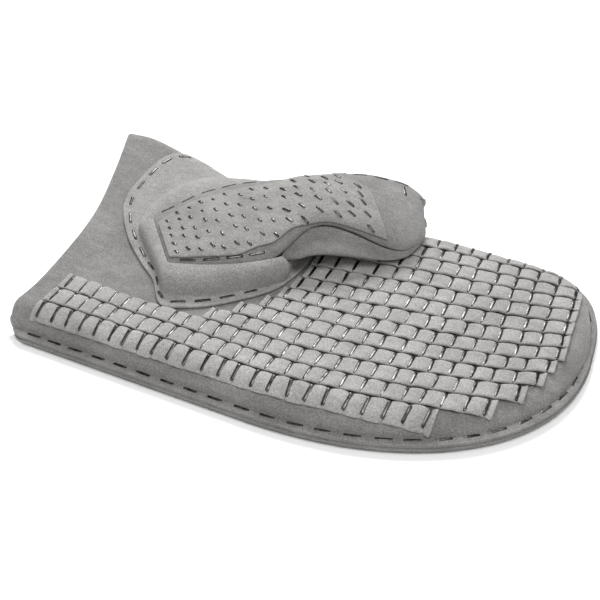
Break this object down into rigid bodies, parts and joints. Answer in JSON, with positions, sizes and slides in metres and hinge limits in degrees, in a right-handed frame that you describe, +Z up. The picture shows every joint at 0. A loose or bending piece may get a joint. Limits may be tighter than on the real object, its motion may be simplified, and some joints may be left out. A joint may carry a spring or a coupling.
{
  "type": "stapled suede oven mitt",
  "caption": "Left-hand heat mitt of grey suede: stapled edge seam with welt, rows of pillowed leather strips across the palm, and a folding thumb with a stapled wear patch.",
  "frame": {"origin": "centre of the bounding box, on the surface the back of the hand lies on", "axes": "+X to the fingertips, +Y to the thumb side, +Z up out of the palm"},
  "size_m": [0.3207, 0.1749, 0.0549],
  "materials": {
    "body_suede": "napped suede, grey",
    "strip_suede": "napped suede, lighter grey",
    "welt_suede": "cut suede edge",
    "felt_lining": "wool felt",
    "staple_steel": "flat steel wire"
  },
  "bodies": {
    "hand": {"back_panel": "body_suede", "palm_panel": "body_suede", "seam_welt": "welt_suede", "back_lining": "felt_lining", "palm_lining": "felt_lining", "seam_staples": "staple_steel", "palm_strip_01": "strip_suede", "palm_strip_02": "strip_suede", "palm_strip_03": "strip_suede", "palm_strip_04": "strip_suede", "palm_strip_05": "strip_suede", "palm_strip_06": "strip_suede", "palm_strip_07": "strip_suede", "palm_strip_08": "strip_suede", "palm_strip_09": "strip_suede", "palm_strip_10": "strip_suede", "palm_strip_11": "strip_suede", "palm_strip_12": "strip_suede", "palm_strip_13": "strip_suede", "strip_staples_01": "staple_steel", "strip_staples_02": "staple_steel", "strip_staples_03": "staple_steel", "strip_staples_04": "staple_steel", "strip_staples_05": "staple_steel", "strip_staples_06": "staple_steel", "strip_staples_07": "staple_steel", "strip_staples_08": "staple_steel", "strip_staples_09": "staple_steel", "strip_staples_10": "staple_steel", "strip_staples_11": "staple_steel", "strip_staples_12": "staple_steel", "strip_staples_13": "staple_steel", "thumb_gusset": "body_suede", "gusset_staples": "staple_steel", "thumb_root_panel": "body_suede", "thumb_root_patch": "strip_suede", "root_patch_staples": "staple_steel", "root_seam_staples": "staple_steel"},
    "thumb": {"thumb_outer_panel": "body_suede", "thumb_inner_panel": "body_suede", "thumb_patch": "strip_suede", "thumb_patch_staples": "staple_steel", "thumb_seam_staples": "staple_steel", "thumb_lining": "felt_lining"}
  },
  "joints": [
    {"name": "thumb_fold", "type": "hinge", "parent": "hand", "child": "thumb", "pos_m": [-0.024, 0.031, 0.0484], "axis": [0.5075, -0.8616, 0], "range_deg": [0, 65]}
  ]
}
